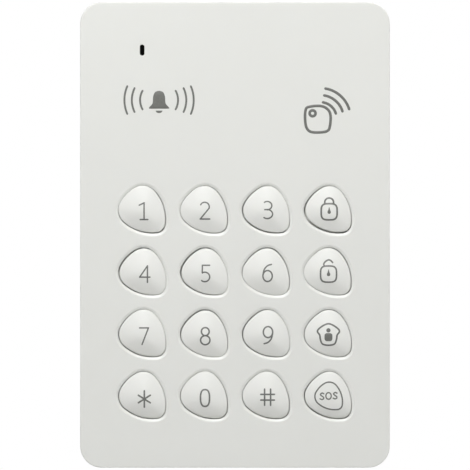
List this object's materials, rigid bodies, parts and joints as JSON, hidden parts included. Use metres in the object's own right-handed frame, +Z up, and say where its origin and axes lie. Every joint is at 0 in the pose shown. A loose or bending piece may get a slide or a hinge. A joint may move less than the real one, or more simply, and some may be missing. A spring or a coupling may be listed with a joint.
{
  "type": "alarm keypad",
  "caption": "Slim wall-hung alarm keypad: rounded upright case, domed pebble keys, status slot, tag reader area, sliding battery door and hooked wall bracket.",
  "frame": {"origin": "on the wall plane, midway between the bracket's two wall-screw holes", "axes": "+Z up the wall, +X to the right as seen by the user, +Y into the wall; the keys face -Y"},
  "size_m": [0.075, 0.0193, 0.1128],
  "materials": {
    "shell": "fine satin texture, warm light grey",
    "back_shell": "spark-eroded texture, warm light grey",
    "key": "satin moulded cap",
    "ink": "thin grey pad-printed ink",
    "bracket": "fine texture, light grey",
    "smoked_lens": "polished smoked light pipe",
    "silicone": "translucent light grey silicone",
    "carbon_rubber": "dark conductive silicone",
    "board": "solder mask over laminate",
    "chip": "moulded black epoxy",
    "can": "drawn metal can",
    "copper": "bare copper and gold flash",
    "steel": "nickel plated",
    "led_body": "clear-topped white package",
    "plunger_white": "polished acetal",
    "cell_jacket": "plain dark shrink jacket",
    "label": "blank satin label"
  },
  "bodies": {
    "bracket": {"wall_bracket": "bracket"},
    "case": {"rear_cover": "back_shell", "front_shell": "shell", "status_lens": "smoked_lens", "status_led": "led_body", "circuit_board": "board", "contact_pads": "copper", "microcontroller": "chip", "reader_chip": "chip", "radio_module": "can", "radio_antenna": "copper", "tag_coil": "copper", "buzzer": "chip", "capacitor": "can", "crystal": "can", "tamper_switch": "chip", "battery_upper": "cell_jacket", "battery_lower": "cell_jacket", "battery_springs": "steel", "battery_plates": "steel", "case_screws": "steel", "board_screws": "steel", "rating_label": "label", "key_mat": "silicone"},
    "door": {"battery_door": "back_shell"},
    "tamper": {"tamper_plunger": "plunger_white", "tamper_spring": "steel"},
    "key_1": {"key_1": "key", "plunger_1": "carbon_rubber"},
    "key_2": {"key_2": "key", "plunger_2": "carbon_rubber"},
    "key_3": {"key_3": "key", "plunger_3": "carbon_rubber"},
    "key_arm": {"key_arm": "key", "plunger_arm": "carbon_rubber"},
    "key_4": {"key_4": "key", "plunger_4": "carbon_rubber"},
    "key_5": {"key_5": "key", "plunger_5": "carbon_rubber"},
    "key_6": {"key_6": "key", "plunger_6": "carbon_rubber"},
    "key_disarm": {"key_disarm": "key", "plunger_disarm": "carbon_rubber"},
    "key_7": {"key_7": "key", "plunger_7": "carbon_rubber"},
    "key_8": {"key_8": "key", "plunger_8": "carbon_rubber"},
    "key_9": {"key_9": "key", "plunger_9": "carbon_rubber"},
    "key_home": {"key_home": "key", "plunger_home": "carbon_rubber"},
    "key_star": {"key_star": "key", "plunger_star": "carbon_rubber"},
    "key_0": {"key_0": "key", "plunger_0": "carbon_rubber"},
    "key_hash": {"key_hash": "key", "plunger_hash": "carbon_rubber"},
    "key_sos": {"key_sos": "key", "plunger_sos": "carbon_rubber"}
  },
  "joints": [
    {"name": "case_lift", "type": "slide", "parent": "bracket", "child": "case", "axis": [0, 0, 1], "range_m": [0, 0.005]},
    {"name": "door_slide", "type": "slide", "parent": "case", "child": "door", "axis": [0, 0, -1], "range_m": [0, 0.028]},
    {"name": "tamper_push", "type": "slide", "parent": "case", "child": "tamper", "axis": [0, 1, 0], "range_m": [0, 0.0015], "stiffness_N_per_m": 100, "deforming": ["tamper_spring"]},
    {"name": "key_1_press", "type": "slide", "parent": "case", "child": "key_1", "axis": [0, 1, 0], "range_m": [0, 0.0008], "stiffness_N_per_m": 600, "springref_m": -0.0003},
    {"name": "key_2_press", "type": "slide", "parent": "case", "child": "key_2", "axis": [0, 1, 0], "range_m": [0, 0.0008], "stiffness_N_per_m": 600, "springref_m": -0.0003},
    {"name": "key_3_press", "type": "slide", "parent": "case", "child": "key_3", "axis": [0, 1, 0], "range_m": [0, 0.0008], "stiffness_N_per_m": 600, "springref_m": -0.0003},
    {"name": "key_arm_press", "type": "slide", "parent": "case", "child": "key_arm", "axis": [0, 1, 0], "range_m": [0, 0.0008], "stiffness_N_per_m": 600, "springref_m": -0.0003},
    {"name": "key_4_press", "type": "slide", "parent": "case", "child": "key_4", "axis": [0, 1, 0], "range_m": [0, 0.0008], "stiffness_N_per_m": 600, "springref_m": -0.0003},
    {"name": "key_5_press", "type": "slide", "parent": "case", "child": "key_5", "axis": [0, 1, 0], "range_m": [0, 0.0008], "stiffness_N_per_m": 600, "springref_m": -0.0003},
    {"name": "key_6_press", "type": "slide", "parent": "case", "child": "key_6", "axis": [0, 1, 0], "range_m": [0, 0.0008], "stiffness_N_per_m": 600, "springref_m": -0.0003},
    {"name": "key_disarm_press", "type": "slide", "parent": "case", "child": "key_disarm", "axis": [0, 1, 0], "range_m": [0, 0.0008], "stiffness_N_per_m": 600, "springref_m": -0.0003},
    {"name": "key_7_press", "type": "slide", "parent": "case", "child": "key_7", "axis": [0, 1, 0], "range_m": [0, 0.0008], "stiffness_N_per_m": 600, "springref_m": -0.0003},
    {"name": "key_8_press", "type": "slide", "parent": "case", "child": "key_8", "axis": [0, 1, 0], "range_m": [0, 0.0008], "stiffness_N_per_m": 600, "springref_m": -0.0003},
    {"name": "key_9_press", "type": "slide", "parent": "case", "child": "key_9", "axis": [0, 1, 0], "range_m": [0, 0.0008], "stiffness_N_per_m": 600, "springref_m": -0.0003},
    {"name": "key_home_press", "type": "slide", "parent": "case", "child": "key_home", "axis": [0, 1, 0], "range_m": [0, 0.0008], "stiffness_N_per_m": 600, "springref_m": -0.0003},
    {"name": "key_star_press", "type": "slide", "parent": "case", "child": "key_star", "axis": [0, 1, 0], "range_m": [0, 0.0008], "stiffness_N_per_m": 600, "springref_m": -0.0003},
    {"name": "key_0_press", "type": "slide", "parent": "case", "child": "key_0", "axis": [0, 1, 0], "range_m": [0, 0.0008], "stiffness_N_per_m": 600, "springref_m": -0.0003},
    {"name": "key_hash_press", "type": "slide", "parent": "case", "child": "key_hash", "axis": [0, 1, 0], "range_m": [0, 0.0008], "stiffness_N_per_m": 600, "springref_m": -0.0003},
    {"name": "key_sos_press", "type": "slide", "parent": "case", "child": "key_sos", "axis": [0, 1, 0], "range_m": [0, 0.0008], "stiffness_N_per_m": 600, "springref_m": -0.0003}
  ]
}
